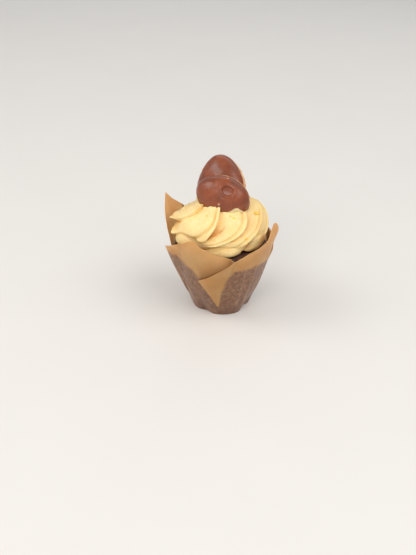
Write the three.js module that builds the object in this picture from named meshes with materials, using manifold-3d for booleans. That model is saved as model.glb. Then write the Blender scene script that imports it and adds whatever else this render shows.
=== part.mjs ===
// A chocolate cupcake in a folded parchment tulip case: sponge, a piped buttercream swirl and two
// halves of filled chocolate eggs standing in it.
// Millimetres, +Z up. The origin is the centre of the case's flat base.
import * as THREE from "three";
import { mergeVertices } from "three/addons/utils/BufferGeometryUtils.js";
import Module from "manifold-3d";

const wasm = await Module();
wasm.setup();

const degrees = Math.PI / 180;
const { lerp, clamp, smoothstep } = THREE.MathUtils;

// ---- driving dimensions ---------------------------------------------------------------------

const clearance = 0.3; // between neighbouring solids

const parchment = {
  baseRadius: 25,
  flare: 0.4, // how much the radius grows for each millimetre of height, at the base
  flareEase: 0.0015, // and how that growth eases off with height
  lean: -0.03, // sideways drift of the axis with height
  thickness: 0.7,
  baseDents: [
    { azimuth: 238, width: 13, depth: 0.12 },
    { azimuth: 333, width: 17, depth: 0.19 },
  ],
  dentHeight: 13,
  // where a panel goes in under the next one its edge bends inwards
  tuck: { depth: 3, reach: 22, height: 9 },
  // the tall corner on the right opens outwards
  spread: { azimuth: 341, width: 20, distance: 2.6, from: 58, to: 80 },
};

// The four panels of the folded sheet. Each overlaps the next one clockwise with a triangular flap:
// its free corner, the flap's foot, the fold's upper end, how far the panel beyond is tucked in under
// it, and the line of its upper edge from that corner to the end that is tucked in itself.
// Azimuths in degrees from +X, heights in millimetres.
const panels = [
  {
    name: "front_right",
    corner: [242, 38.5],
    foot: [265, 9.5],
    fold: [287, 60],
    tucked: 1,
    lift: 1.5,
    edge: [
      [242, 38.5],
      [254, 43.4],
      [266, 49.8],
      [277, 55.4],
      [285.5, 61],
      [300, 66.6],
      [315, 70.3],
      [321, 72.4],
      [324, 75.5],
      [325, 86],
      [327, 89.5],
      [331, 88.5],
      [337, 83],
      [343, 76.5],
      [350, 69],
      [358, 63],
      [372, 57],
    ],
  },
  {
    name: "front_left",
    corner: [194, 61],
    foot: [207, 14],
    fold: [222, 66],
    tucked: 1,
    lift: 5,
    edge: [
      [194, 58],
      [207, 62.9],
      [214, 66],
      [228, 71.8],
      [239, 77.4],
      [242.5, 77.6],
      [247.5, 73],
      [255, 70.7],
      [271, 65.4],
      [282.6, 61.6],
      [284, 58],
      [288, 50],
    ],
  },
  {
    name: "back_left",
    corner: [108, 50],
    foot: [126, 12],
    fold: [138, 66],
    tucked: 1,
    lift: 2.5,
    edge: [[108, 50], [136, 76], [152, 86], [164, 95.5], [174, 84], [188, 64], [202, 54]],
  },
  {
    name: "back_right",
    corner: [-6, 54],
    foot: [6, 26],
    fold: [26, 61],
    tucked: 0.15,
    lift: 1,
    edge: [[-6, 54], [8, 59.5], [19, 63.5], [28, 64.5], [50, 75], [66, 81], [84, 73], [118, 55]],
  },
];

const cake = {
  top: 60,
  contactHeight: 50, // up to here the sponge fills the parchment
  shoulderRadius: 38.2,
  topRadius: 33.5,
  crumb: 0.55, // unevenness of the sponge where it shows
};

// The crests of the swirl lie on this outline, from the tucked-in lower edge to the top, with the depth
// of the furrows between them at each of its points.
const swirl = {
  centre: [-4, 0],
  outline: [
    { radius: 31, height: 66.5, furrow: 0 },
    { radius: 36.5, height: 68.6, furrow: 3 },
    { radius: 39.6, height: 70.8, furrow: 5.4 },
    { radius: 41, height: 74, furrow: 7.2 },
    { radius: 41, height: 77.2, furrow: 7.8 },
    { radius: 40.2, height: 80.6, furrow: 8 },
    { radius: 38.4, height: 84, furrow: 7.8 },
    { radius: 35.2, height: 87.4, furrow: 7 },
    { radius: 31, height: 90.4, furrow: 5.6 },
    { radius: 25, height: 93.4, furrow: 4 },
    { radius: 17, height: 95.2, furrow: 2.2 },
    { radius: 8, height: 96, furrow: 1.2 },
  ],
  top: 96.4,
  slope: 0.14, // the top leans towards the front
  // azimuth of each crest at even steps from the lower edge to the top
  crests: [
    [-24, -2, 20, 34, 48, 56],
    [12, 31, 48, 60, 70, 78],
    [50, 66, 78, 86, 94, 102],
    [92, 104, 112, 118, 124, 130],
    [138, 150, 168, 216, 222, 228],
    [216, 244, 253, 260, 266, 262],
    [237, 258, 287, 301, 311, 318],
    [292, 296, 312, 329, 361, 374],
    [318, 332, 350, 366, 392, 402],
  ],
  curl: 3.9, // how far a crest leans over its furrow
  furrowShare: 0.12, // share of a petal's width taken by the steep side
  // Where it swells. The place is a share of the outline, and so is the reach along it.
  swells: [
    { azimuth: 268, spread: 50, place: 0.87, reach: 0.1, outward: 0, upward: 2.2 },
    { azimuth: 5, spread: 42, place: 0.76, reach: 0.2, outward: 2.8, upward: 3.2 },
    { azimuth: 295, spread: 8, place: 0.88, reach: 0.09, outward: 0, upward: 2.6 },
    { azimuth: 326, spread: 14, place: 0.86, reach: 0.09, outward: 0, upward: -1.5 },
    { azimuth: 187, spread: 10, place: 0.46, reach: 0.07, outward: 1.8, upward: 0.3 },
    { azimuth: 196, spread: 10, place: 0.16, reach: 0.09, outward: 4.4, upward: -2.6 },
    { azimuth: 222, spread: 18, place: 0, reach: 0.2, outward: -3, upward: 6 },
    { azimuth: 230, spread: 12, place: 0.12, reach: 0.13, outward: -2.5, upward: 4 },
  ],
  // where a furrow is filled up, and how much of its depth
  filled: [
    { azimuth: 216, spread: 22, place: 0.62, reach: 0.2, amount: 0.72 },
    { azimuth: 268, spread: 12, place: 0.7, reach: 0.15, amount: 0.3 },
  ],
};

const firstTurn = {
  radius: 38.4,
  low: 60 + clearance,
  high: 71,
  lobes: [32, 90, 148, 205, 276, 329],
  lobeSpan: 30,
  lobeDepth: 7,
  twist: 14, // of the lobes, from the lower side to the upper one
  // where it swells; the place and the reach are shares of its height
  swells: [
    { azimuth: 215, spread: 22, place: 1, reach: 0.6, outward: 0.5, upward: 4 },
    { azimuth: 328, spread: 20, place: 0.85, reach: 0.4, outward: 4, upward: 6.5 },
  ],
};

// Zest in the buttercream: azimuth about the swirl's centre, height and length of the flakes at the
// front, and how many more follow round the sides and back.
const zest = {
  front: [
    [334, 91.5, 4.2],
    [6, 87.8, 2.2],
    [292, 92.4, 2.4],
    [303, 77.4, 2.4],
    [334, 82.9, 2.2],
    [248, 93.5, 1.8],
    [331, 67.6, 1.8],
  ],
  more: { count: 9, from: 20, to: 215, low: 68, high: 91, shortest: 1.6, longest: 3.2 },
  thickness: 1.1,
};

// Two halves of a filled egg, standing in the buttercream with their domes to the front left.
const eggs = [
  {
    name: "rear",
    centre: [-3.5, 19.4, 103.8],
    dome: { azimuth: 227, elevation: 24, height: 14.8 },
    roll: 115, // of the long axis, from level
    halfLength: 23,
    halfWidth: 21.9,
    taper: 0.29,
    fillingProud: 4.8,
    fillingTilt: 0.4, // the filling stands out less at the narrow end
  },
  {
    name: "front",
    centre: [-2, -7.2, 101.6],
    dome: { azimuth: 249, elevation: 15, height: 14.8 },
    roll: -14,
    halfLength: 23.3,
    halfWidth: 17.6,
    taper: -0.08,
    fillingProud: 3,
    fillingTilt: 0,
    dimple: { at: [5.3, 9.5], radius: 4.1, depth: 1, ring: 0.6 },
  },
];
const shell = { thickness: 1.8, fullness: 2.4 };
const filling = { rounding: 0.08 };

// ---- geometry helpers -----------------------------------------------------------------------

// A closed surface from rings of points. The first and last ring are single points, and each ring
// runs counterclockwise seen from the side of the last one.
function solidFromRings(rings) {
  const positions = [];
  const starts = rings.map((ring) => {
    const start = positions.length / 3;
    ring.forEach((p) => positions.push(p.x, p.y, p.z));
    return start;
  });
  const faces = [];
  for (let i = 0; i + 1 < rings.length; i++) {
    const [low, high] = [rings[i], rings[i + 1]];
    const count = Math.max(low.length, high.length);
    for (let j = 0; j < count; j++) {
      const k = (j + 1) % count;
      const at = (ring, start, n) => start + (ring.length === 1 ? 0 : n);
      const [a, b] = [at(low, starts[i], j), at(low, starts[i], k)];
      const [d, c] = [at(high, starts[i + 1], j), at(high, starts[i + 1], k)];
      if (a === b) faces.push(a, c, d);
      else if (c === d) faces.push(a, b, c);
      else if (low[j].distanceTo(high[k]) < low[k].distanceTo(high[j])) faces.push(a, b, c, a, c, d);
      else faces.push(a, b, d, b, c, d);
    }
  }
  return geometryOf(positions, faces);
}

// A closed slab between two grids of points of the same size; outer faces away from inner.
function slabFromGrids(outer, inner) {
  const [rows, columns] = [outer.length, outer[0].length];
  const positions = [...outer.flat(), ...inner.flat()].flatMap((p) => [p.x, p.y, p.z]);
  const at = (side, i, j) => side * rows * columns + i * columns + j;
  const faces = [];
  const quad = (a, b, c, d) => faces.push(a, b, c, a, c, d);
  for (let i = 0; i + 1 < rows; i++) {
    for (let j = 0; j + 1 < columns; j++) {
      quad(at(0, i, j), at(0, i, j + 1), at(0, i + 1, j + 1), at(0, i + 1, j));
      quad(at(1, i, j), at(1, i + 1, j), at(1, i + 1, j + 1), at(1, i, j + 1));
    }
  }
  for (let j = 0; j + 1 < columns; j++) {
    quad(at(1, 0, j), at(1, 0, j + 1), at(0, 0, j + 1), at(0, 0, j));
    quad(at(0, rows - 1, j), at(0, rows - 1, j + 1), at(1, rows - 1, j + 1), at(1, rows - 1, j));
  }
  for (let i = 0; i + 1 < rows; i++) {
    quad(at(0, i, 0), at(0, i + 1, 0), at(1, i + 1, 0), at(1, i, 0));
    quad(at(0, i, columns - 1), at(1, i, columns - 1), at(1, i + 1, columns - 1), at(0, i + 1, columns - 1));
  }
  return geometryOf(positions, faces);
}

function geometryOf(positions, faces) {
  const geometry = new THREE.BufferGeometry();
  geometry.setAttribute("position", new THREE.Float32BufferAttribute(positions, 3));
  geometry.setIndex(faces);
  return geometry;
}

function toManifold(geometry) {
  const bare = geometry.clone();
  bare.deleteAttribute("normal");
  bare.deleteAttribute("uv");
  const merged = mergeVertices(bare, 1e-4);
  return new wasm.Manifold(
    new wasm.Mesh({
      numProp: 3,
      vertProperties: new Float32Array(merged.attributes.position.array),
      triVerts: new Uint32Array(merged.index.array),
    }),
  );
}

function fromManifold(solid) {
  const mesh = solid.getMesh();
  return geometryOf(Array.from(mesh.vertProperties), Array.from(mesh.triVerts));
}

function named(name, geometry, material) {
  const mesh = new THREE.Mesh(geometry, material);
  mesh.name = name;
  geometry.computeVertexNormals();
  return mesh;
}

// Straight lines through [x, y] pairs; undefined outside them.
function along(pairs, x) {
  const next = pairs.findIndex(([px]) => px >= x);
  if (next < 0 || x < pairs[0][0]) return undefined;
  if (next === 0) return pairs[0][1];
  const [[x0, y0], [x1, y1]] = [pairs[next - 1], pairs[next]];
  return lerp(y0, y1, (x - x0) / (x1 - x0));
}

const bell = (x) => Math.exp(-x * x);
const turnBetween = (a, b) => ((((a - b) % 360) + 540) % 360) - 180; // signed, in degrees
const aroundAzimuths = (count) => Array.from({ length: count }, (_, i) => (360 * i) / count);

// ---- parchment case -------------------------------------------------------------------------

function caseRadius(azimuth, height) {
  const { baseRadius, flare, flareEase, baseDents, dentHeight } = parchment;
  const round = baseRadius + flare * height - flareEase * height * height;
  const fade = bell(height / dentHeight);
  const dents = baseDents.map((d) => d.depth * bell(turnBetween(azimuth, d.azimuth) / d.width));
  return round * (1 - fade * dents.reduce((a, b) => a + b));
}

// How far the top of the wall bends in or out from the plain case.
function caseBend(azimuth, height) {
  const { tuck, spread } = parchment;
  const rim = rimHeight(azimuth);
  const tucks = panels.map(({ fold, tucked }) => {
    const before = turnBetween(fold[0], azimuth);
    return tucked * smoothstep(before, 1, 7) * (1 - smoothstep(before, 7, tuck.reach));
  });
  const inwards = tuck.depth * Math.max(...tucks) * smoothstep(height, rim - tuck.height, rim);
  const near = bell(turnBetween(azimuth, spread.azimuth) / spread.width);
  return spread.distance * near * smoothstep(height, spread.from, spread.to) - inwards;
}

function casePoint(azimuth, height, outward = 0) {
  const radius = caseRadius(azimuth, height) + outward;
  return new THREE.Vector3(
    parchment.lean * height + radius * Math.cos(azimuth * degrees),
    radius * Math.sin(azimuth * degrees),
    height,
  );
}

// The highest panel edge at an azimuth, trying the azimuth one turn either way as well.
function rimHeight(azimuth) {
  const heights = panels.flatMap(({ edge }) => [-360, 0, 360].map((turn) => along(edge, azimuth + turn)));
  return Math.max(...heights.filter((h) => h !== undefined));
}

function caseWall() {
  const { thickness } = parchment;
  const azimuths = aroundAzimuths(90);
  const levels = [0, 0.07, 0.18, 0.36, 0.6, 0.82, 1];
  const centre = (height) => [new THREE.Vector3(parchment.lean * height, 0, height)];
  const ring = (height, outward) =>
    azimuths.map((a) => casePoint(a, height(a), outward + caseBend(a, height(a))));
  const outside = levels.map((t) => ring((a) => t * rimHeight(a), 0));
  const inside = levels
    .map((t) => ring((a) => lerp(thickness, rimHeight(a), t), -thickness))
    .reverse();
  return solidFromRings([centre(0), ...outside, ...inside, centre(thickness)]);
}

// The triangular flap of one panel: it stands off along its free edge, and sinks into the wall
// along its fold.
function flap({ corner, foot, fold, lift, edge }) {
  const { thickness } = parchment;
  const steps = 5;
  const sunk = -0.45 * thickness;
  const grid = (outward) =>
    Array.from({ length: steps + 1 }, (_, i) => {
      const v = lerp(0.04, 1, i / steps);
      return Array.from({ length: steps + 1 }, (_, j) => {
        const u = j / steps;
        const topAzimuth = lerp(corner[0], fold[0], u);
        const azimuth = lerp(foot[0], topAzimuth, v);
        const height = lerp(foot[1], along(edge, topAzimuth), v);
        const stand = sunk + (0.35 + lift * v) * (1 - smoothstep(u, 0, 0.9));
        return casePoint(azimuth, height, stand + outward);
      });
    });
  return slabFromGrids(grid(thickness), grid(0));
}

function parchmentCase() {
  const wall = toManifold(caseWall());
  return fromManifold(panels.reduce((whole, panel) => whole.add(toManifold(flap(panel))), wall));
}

// ---- sponge ---------------------------------------------------------------------------------

function sponge() {
  const { top, contactHeight, shoulderRadius, topRadius, crumb } = cake;
  const azimuths = aroundAzimuths(48);
  const inset = parchment.thickness + clearance + 0.12;
  const wave = (a, waves, shift) => Math.sin(a * degrees * waves + shift);
  const uneven = (a, k) => 0.5 * crumb * (wave(a, 7, k) + wave(a, 13, 2.3 * k));
  const touching = [inset, 6, 14, 28, contactHeight - 8, contactHeight].map((height) =>
    azimuths.map((a) => casePoint(a, height, -inset)),
  );
  const shoulder = [
    [shoulderRadius, top - 4.2],
    [lerp(shoulderRadius, topRadius, 0.45), top - 1.3],
    [topRadius, top],
  ].map(([radius, height], k) =>
    azimuths.map((a) => {
      const r = radius - crumb + (k < 2 ? uneven(a, 3 * k + 1) : 0);
      const x = parchment.lean * height + r * Math.cos(a * degrees);
      return new THREE.Vector3(x, r * Math.sin(a * degrees), height);
    }),
  );
  const middle = (height) => [new THREE.Vector3(parchment.lean * height, 0, height)];
  return solidFromRings([middle(inset), ...touching, ...shoulder, middle(top)]);
}

// ---- buttercream ----------------------------------------------------------------------------

const outlineCurve = new THREE.SplineCurve(swirl.outline.map((k) => new THREE.Vector2(k.radius, k.height)));

// Depth of the furrows, from the points of the outline, at a share of the way along it.
function furrowDepth(share, azimuth) {
  const at = share * (swirl.outline.length - 1);
  const low = Math.min(Math.floor(at), swirl.outline.length - 2);
  const plain = lerp(swirl.outline[low].furrow, swirl.outline[low + 1].furrow, at - low);
  const kept = swirl.filled.map((spot) => 1 - spot.amount * nearness(spot, share, azimuth));
  return kept.reduce((depth, part) => depth * part, plain);
}

// 1 at a spot on the swirl, and less away from it.
function nearness({ azimuth, spread, place, reach }, share, towards) {
  return bell(turnBetween(towards, azimuth) / spread) * bell((share - place) / reach);
}

// How much each step of a crest counts at a share of the outline: a cubic spline whose ends run on
// straight.
function stepWeights(share) {
  const last = swirl.crests[0].length - 1;
  const weight = (step) => {
    const away = Math.abs(share * last - step);
    return (Math.max(2 - away, 0) ** 3 - 4 * Math.max(1 - away, 0) ** 3) / 6;
  };
  const weights = swirl.crests[0].map((_, step) => weight(step));
  const [before, after] = [weight(-1), weight(last + 1)];
  weights[0] += 2 * before;
  weights[1] -= before;
  weights[last] += 2 * after;
  weights[last - 1] -= after;
  return weights;
}

// Azimuth of a crest at a share of the outline.
function crestAzimuth(index, share) {
  const { crests } = swirl;
  const turns = index < crests.length ? 0 : 360;
  const steps = crests[index % crests.length];
  return stepWeights(share).reduce((sum, weight, step) => sum + weight * steps[step], turns);
}

// Height of a petal's face across its width: 0 in the furrow, 1 on the crest. t runs from one
// crest to the next, and the steep side comes first.
function petalHeight(t) {
  const { furrowShare } = swirl;
  if (t < furrowShare) return 1 - smoothstep(t, 0, furrowShare);
  const u = (t - furrowShare) / (1 - furrowShare);
  return 0.85 * Math.sin((u * Math.PI) / 2) + 0.15 * u ** 4;
}

// How strongly a point leans towards the next petal, to curl the crest over its furrow.
function petalLean(t) {
  const { furrowShare } = swirl;
  return t < furrowShare ? 1 - (t / furrowShare) ** 1.5 : smoothstep(t, 0.62, 1);
}

function swirlPoint(share, petal, t) {
  const { centre, curl, outline, slope: lean, swells } = swirl;
  const azimuth = lerp(crestAzimuth(petal, share), crestAzimuth(petal + 1, share), t);
  const on = outlineCurve.getPoint(share);
  const slope = outlineCurve.getTangent(share);
  for (const swell of swells) {
    const near = nearness(swell, share, azimuth);
    on.x += swell.outward * near;
    on.y += swell.upward * near;
  }
  const furrow = furrowDepth(share, azimuth);
  const depth = furrow * (1 - petalHeight(t));
  const over = (curl * petalLean(t) * furrow) / outline[5].furrow / on.x / degrees;
  const phi = (azimuth + over) * degrees;
  const r = Math.max(0.5, on.x - depth * slope.y);
  const [x, y, z] = [r * Math.cos(phi), r * Math.sin(phi), on.y + depth * slope.x];
  const raised = clamp((z - outline[0].height) / (outline.at(-1).height - outline[0].height), 0, 1);
  return new THREE.Vector3(centre[0] + x, centre[1] + y, z - lean * y * raised);
}

function upperTurns() {
  const { furrowShare, crests, top, centre } = swirl;
  const across = [0, 0.35, 0.7, 1].map((s) => s * furrowShare);
  const face = [0.18, 0.4, 0.62, 0.8, 0.93].map((s) => lerp(furrowShare, 1, s));
  const stations = [...across, ...face];
  const shares = Array.from({ length: 19 }, (_, i) => (i / 18) ** 1.3);
  const rings = shares.map((share) =>
    crests.flatMap((_, petal) => stations.map((t) => swirlPoint(share, petal, t))),
  );
  const middle = (height) => [new THREE.Vector3(...centre, height)];
  return solidFromRings([middle(rings[0][0].z), ...rings, middle(top)]);
}

// The first turn of the rope, which shows as long lobes under the overhang of the ones above.
function lowestTurn() {
  const { radius, low, high, lobes, lobeSpan, lobeDepth, twist, swells } = firstTurn;
  const azimuths = aroundAzimuths(80);
  const [x, y] = swirl.centre;
  const section = [
    [-5, 0],
    [-1.6, 0.08],
    [-0.2, 0.26],
    [0, 0.45],
    [-0.6, 0.68],
    [-1.8, 0.86],
    [-5, 1],
  ];
  const rings = section.map(([out, share]) =>
    azimuths.map((azimuth) => {
      const away = Math.min(...lobes.map((l) => Math.abs(turnBetween(azimuth, l + twist * share))));
      const lobe = Math.sqrt(Math.max(0, 1 - (away / lobeSpan) ** 2));
      let r = radius + out - lobeDepth * (1 - lobe);
      let z = lerp(low, high, share);
      for (const swell of swells) {
        r += swell.outward * nearness(swell, share, azimuth);
        z += swell.upward * nearness(swell, share, azimuth);
      }
      const angle = azimuth * degrees;
      return new THREE.Vector3(x + r * Math.cos(angle), y + r * Math.sin(angle), z);
    }),
  );
  return solidFromRings([[new THREE.Vector3(x, y, low)], ...rings, [new THREE.Vector3(x, y, high)]]);
}

// ---- filled eggs ----------------------------------------------------------------------------

// The directions of an egg: its long axis, the one across it, and the one out of the dome.
function eggAxes({ dome, roll }) {
  const [phi, tip, turn] = [dome.azimuth, dome.elevation, roll].map((angle) => angle * degrees);
  const apex = new THREE.Vector3(Math.cos(tip) * Math.cos(phi), Math.cos(tip) * Math.sin(phi), Math.sin(tip));
  const level = new THREE.Vector3(-Math.sin(phi), Math.cos(phi), 0);
  const up = apex.clone().cross(level);
  const long = level.multiplyScalar(Math.cos(turn)).addScaledVector(up, Math.sin(turn));
  return [long, apex.clone().cross(long), apex];
}

// A point in the egg's own directions, measured from the centre of its rim.
function eggPoint(egg, ...distances) {
  const point = new THREE.Vector3(...egg.centre);
  eggAxes(egg).forEach((axis, i) => point.addScaledVector(axis, distances[i]));
  return point;
}

// A ring of an egg at a height above its rim: the rim's outline, scaled and then moved outwards.
// Below the rim it tilts with the filling.
function eggRing(egg, height, scale, outward, columns = 30) {
  if (scale === 0) return [eggPoint(egg, 0, 0, height)];
  const tilt = height < -clearance ? egg.fillingTilt : 0;
  return aroundAzimuths(columns).map((turn) => {
    const [c, s] = [Math.cos(turn * degrees), Math.sin(turn * degrees)];
    const [x, y] = [(egg.halfLength * scale + outward) * c, (egg.halfWidth * scale + outward) * s];
    return eggPoint(egg, x, y * (1 - egg.taper * c), height * (1 - tilt * scale * c));
  });
}

// Height of the dome above the rim.
function domeHeight(egg, x, y) {
  const along = x / egg.halfLength;
  const out = Math.hypot(along, y / (egg.halfWidth * (1 - egg.taper * along)));
  return egg.dome.height * (1 - out ** shell.fullness) ** (1 / shell.fullness);
}

// Rings over the dome, from the rim to its top, at a distance outside its surface.
function domeRings(egg, outward, count, columns) {
  return Array.from({ length: count }, (_, i) => {
    const angle = (i / (count - 1)) * 90 * degrees;
    const power = 2 / shell.fullness;
    const scale = i === count - 1 ? 0 : Math.cos(angle) ** power;
    const height = (egg.dome.height + outward) * Math.sin(angle) ** power;
    return eggRing(egg, height, scale, outward * Math.min(1, scale * 1.3), columns);
  });
}

function eggShell(egg) {
  const outer = domeRings(egg, 0, 10);
  const inner = domeRings(egg, -shell.thickness, 10).reverse();
  return solidFromRings([...inner, ...outer]);
}

// The filling: it fills the shell, and stands out of its open side as a rounded cushion.
function eggFilling(egg) {
  const { rounding } = filling;
  const proud = egg.fillingProud;
  const inset = shell.thickness + clearance + 0.1;
  const cushion = [
    [-proud, 0, 0],
    [-proud * 0.99, 0.8 - rounding, 0],
    [-proud * 0.9, 0.97 - rounding, 0],
    [-proud * 0.66, 0.99, 0],
    [-proud * 0.35, 1, 0],
    [-clearance, 1, -0.15],
  ].map(([height, scale, outward]) => eggRing(egg, height, scale, outward));
  const inside = domeRings(egg, -inset, 8);
  return solidFromRings([...cushion, ...inside]);
}

// The whole of an egg grown by the clearance, to press its nest into the buttercream.
function eggNest(egg) {
  const grown = clearance + 0.15;
  const under = [
    [-egg.fillingProud - grown, 0, 0],
    [-egg.fillingProud - grown, 0.92, 0],
    [-egg.fillingProud * 0.7, 1, grown],
  ].map(([height, scale, outward]) => eggRing(egg, height, scale, outward));
  return solidFromRings([...under, ...domeRings(egg, grown, 13)]);
}

// The round dimple with its raised ring, pressed into the front of a finished shell.
function withDimple(egg, solid) {
  const { at, radius, depth, ring } = egg.dimple;
  const [x, y] = at;
  const surface = (dx, dy) => eggPoint(egg, x + dx, y + dy, domeHeight(egg, x + dx, y + dy));
  const across = surface(0.5, 0).sub(surface(-0.5, 0));
  const normal = across.cross(surface(0, 0.5).sub(surface(0, -0.5))).normalize();
  const turn = new THREE.Quaternion().setFromUnitVectors(new THREE.Vector3(0, 1, 0), normal);
  const place = (geometry, outward) => {
    geometry.applyQuaternion(turn);
    geometry.translate(...surface(0, 0).addScaledVector(normal, outward));
    return toManifold(geometry);
  };
  const plug = place(new THREE.CylinderGeometry(radius * 1.1, radius * 0.75, 4, 18), 2 - depth);
  const rim = place(new THREE.TorusGeometry(radius + ring, ring, 6, 24).rotateX(Math.PI / 2), -0.45);
  return solid.add(rim).subtract(plug);
}

// ---- zest in the buttercream ----------------------------------------------------------------

// Where the flakes lie, as azimuth, height and length.
function zestSpots() {
  const { count, from, to, low, high, shortest, longest } = zest.more;
  const share = (i, step) => (0.5 + i * step) % 1;
  const more = Array.from({ length: count }, (_, i) => [
    lerp(from, to, share(i, 0.618)),
    lerp(low, high, share(i, 0.382)),
    lerp(shortest, longest, share(i, 0.27)),
  ]);
  return [...zest.front, ...more];
}

// One solid for each flake, half sunk where a level line towards the axis meets the surface.
function zestSolids(surface) {
  const [x, y] = swirl.centre;
  const ray = new THREE.Raycaster();
  return zestSpots().map(([azimuth, height, length]) => {
    const outwards = new THREE.Vector3(Math.cos(azimuth * degrees), Math.sin(azimuth * degrees), 0);
    const start = new THREE.Vector3(x, y, height).addScaledVector(outwards, 70);
    ray.set(start, outwards.negate());
    const hit = ray.intersectObject(surface)[0];
    const flake = new THREE.IcosahedronGeometry(length / 2, 0);
    flake.scale(1, 0.6, zest.thickness / length);
    const flat = new THREE.Vector3(0, 0, 1);
    flake.applyQuaternion(new THREE.Quaternion().setFromUnitVectors(flat, hit.face.normal));
    flake.translate(...hit.point);
    return toManifold(flake);
  });
}

function buttercream() {
  const piped = toManifold(upperTurns()).add(toManifold(lowestTurn()));
  const surface = new THREE.Mesh(fromManifold(piped));
  let whole = zestSolids(surface).reduce((all, flake) => all.add(flake), piped);
  for (const egg of eggs) whole = whole.subtract(toManifold(eggNest(egg)));
  const pieces = whole.decompose().sort((a, b) => b.volume() - a.volume());
  return fromManifold(pieces[0]);
}

// ---- the cupcake ----------------------------------------------------------------------------

const materials = {
  parchment: new THREE.MeshStandardMaterial({ color: 0xb98a5c, roughness: 0.75, side: THREE.DoubleSide }),
  sponge: new THREE.MeshStandardMaterial({ color: 0x3a2620, roughness: 0.95 }),
  buttercream: new THREE.MeshStandardMaterial({ color: 0xf4d596, roughness: 0.55 }),
  chocolate: new THREE.MeshStandardMaterial({ color: 0x6b3f2c, roughness: 0.3 }),
  filling: new THREE.MeshStandardMaterial({ color: 0xc88d5c, roughness: 0.7 }),
};

const cupcake = new THREE.Group();
cupcake.add(named("parchment_case", parchmentCase(), materials.parchment));
cupcake.add(named("sponge", sponge(), materials.sponge));
cupcake.add(named("buttercream", buttercream(), materials.buttercream));
for (const egg of eggs) {
  const plain = toManifold(eggShell(egg));
  const finished = egg.dimple ? withDimple(egg, plain) : plain;
  cupcake.add(named(`egg_shell_${egg.name}`, fromManifold(finished), materials.chocolate));
  cupcake.add(named(`egg_filling_${egg.name}`, eggFilling(egg), materials.filling));
}

export default cupcake;
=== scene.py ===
import math

import bpy
import numpy as np
from mathutils import Matrix, Vector, noise
from mathutils.bvhtree import BVHTree


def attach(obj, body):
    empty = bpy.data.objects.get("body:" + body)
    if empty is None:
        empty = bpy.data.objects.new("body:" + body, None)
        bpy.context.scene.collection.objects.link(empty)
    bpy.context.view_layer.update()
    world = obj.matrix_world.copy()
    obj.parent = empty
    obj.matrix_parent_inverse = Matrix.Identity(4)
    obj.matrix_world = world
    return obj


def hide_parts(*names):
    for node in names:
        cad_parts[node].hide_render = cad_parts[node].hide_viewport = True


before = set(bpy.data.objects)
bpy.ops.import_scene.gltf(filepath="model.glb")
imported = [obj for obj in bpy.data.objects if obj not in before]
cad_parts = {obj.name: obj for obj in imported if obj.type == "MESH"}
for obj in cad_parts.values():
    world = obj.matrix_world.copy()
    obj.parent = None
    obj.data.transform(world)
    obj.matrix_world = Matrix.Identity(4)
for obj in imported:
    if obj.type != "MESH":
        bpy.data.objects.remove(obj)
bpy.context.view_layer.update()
mm = 0.001
scene = bpy.context.scene

# Node trees: sums on sockets are written as plain expressions.


def isVector(term):
    if isinstance(term, Value):
        return term.socket.type in ("VECTOR", "RGBA")
    return isinstance(term, (tuple, list, Vector))


# one sign of a plain sum, with the value on its left and on its right
def sign(operation):
    def left(value, other):
        return value.sum(operation, value, other)

    def right(value, other):
        return value.sum(operation, other, value)

    return left, right


class Value:
    __add__, __radd__ = sign("ADD")
    __sub__, __rsub__ = sign("SUBTRACT")
    __mul__, __rmul__ = sign("MULTIPLY")
    __truediv__, __rtruediv__ = sign("DIVIDE")
    __pow__, __rpow__ = sign("POWER")

    def __init__(self, bench, socket):
        self.bench = bench
        self.socket = socket

    def sum(self, operation, *terms):
        kind = "ShaderNodeVectorMath" if any(isVector(t) for t in terms) else "ShaderNodeMath"
        out = 1 if operation in ("DOT_PRODUCT", "DISTANCE") else 0
        return self.bench.node(kind, {"operation": operation}, dict(enumerate(terms)), out)

    def of(self, operation, *others):
        return self.sum(operation, self, *others)

    def __abs__(self):
        return self.of("ABSOLUTE")

    def clipped(self):
        return self.of("MAXIMUM", 0.0).of("MINIMUM", 1.0)

    # 0 below low, 1 above high, and a smooth step between them
    def step(self, low, high):
        ends = {"Value": self, "From Min": low, "From Max": high}
        return self.bench.node("ShaderNodeMapRange", {"interpolation_type": "SMOOTHSTEP"}, ends)

    def bell(self, width=1.0):
        x = self / width
        return (x * x * -1.0).of("EXPONENT")

    # this value as the factor between two colours or two numbers
    def mix(self, low, high):
        colours = isVector(low) or isVector(high)
        kind, first, out = ("RGBA", 6, 2) if colours else ("FLOAT", 2, 0)
        ends = {0: self, first: low, first + 1: high}
        return self.bench.node("ShaderNodeMix", {"data_type": kind}, ends, out)

    # noise at the places that this value gives
    def noise(self, scale, detail=2.0, roughness=0.5):
        sizes = {"Vector": self, "Scale": scale, "Detail": detail, "Roughness": roughness}
        return self.bench.node("ShaderNodeTexNoise", {}, sizes)


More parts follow.
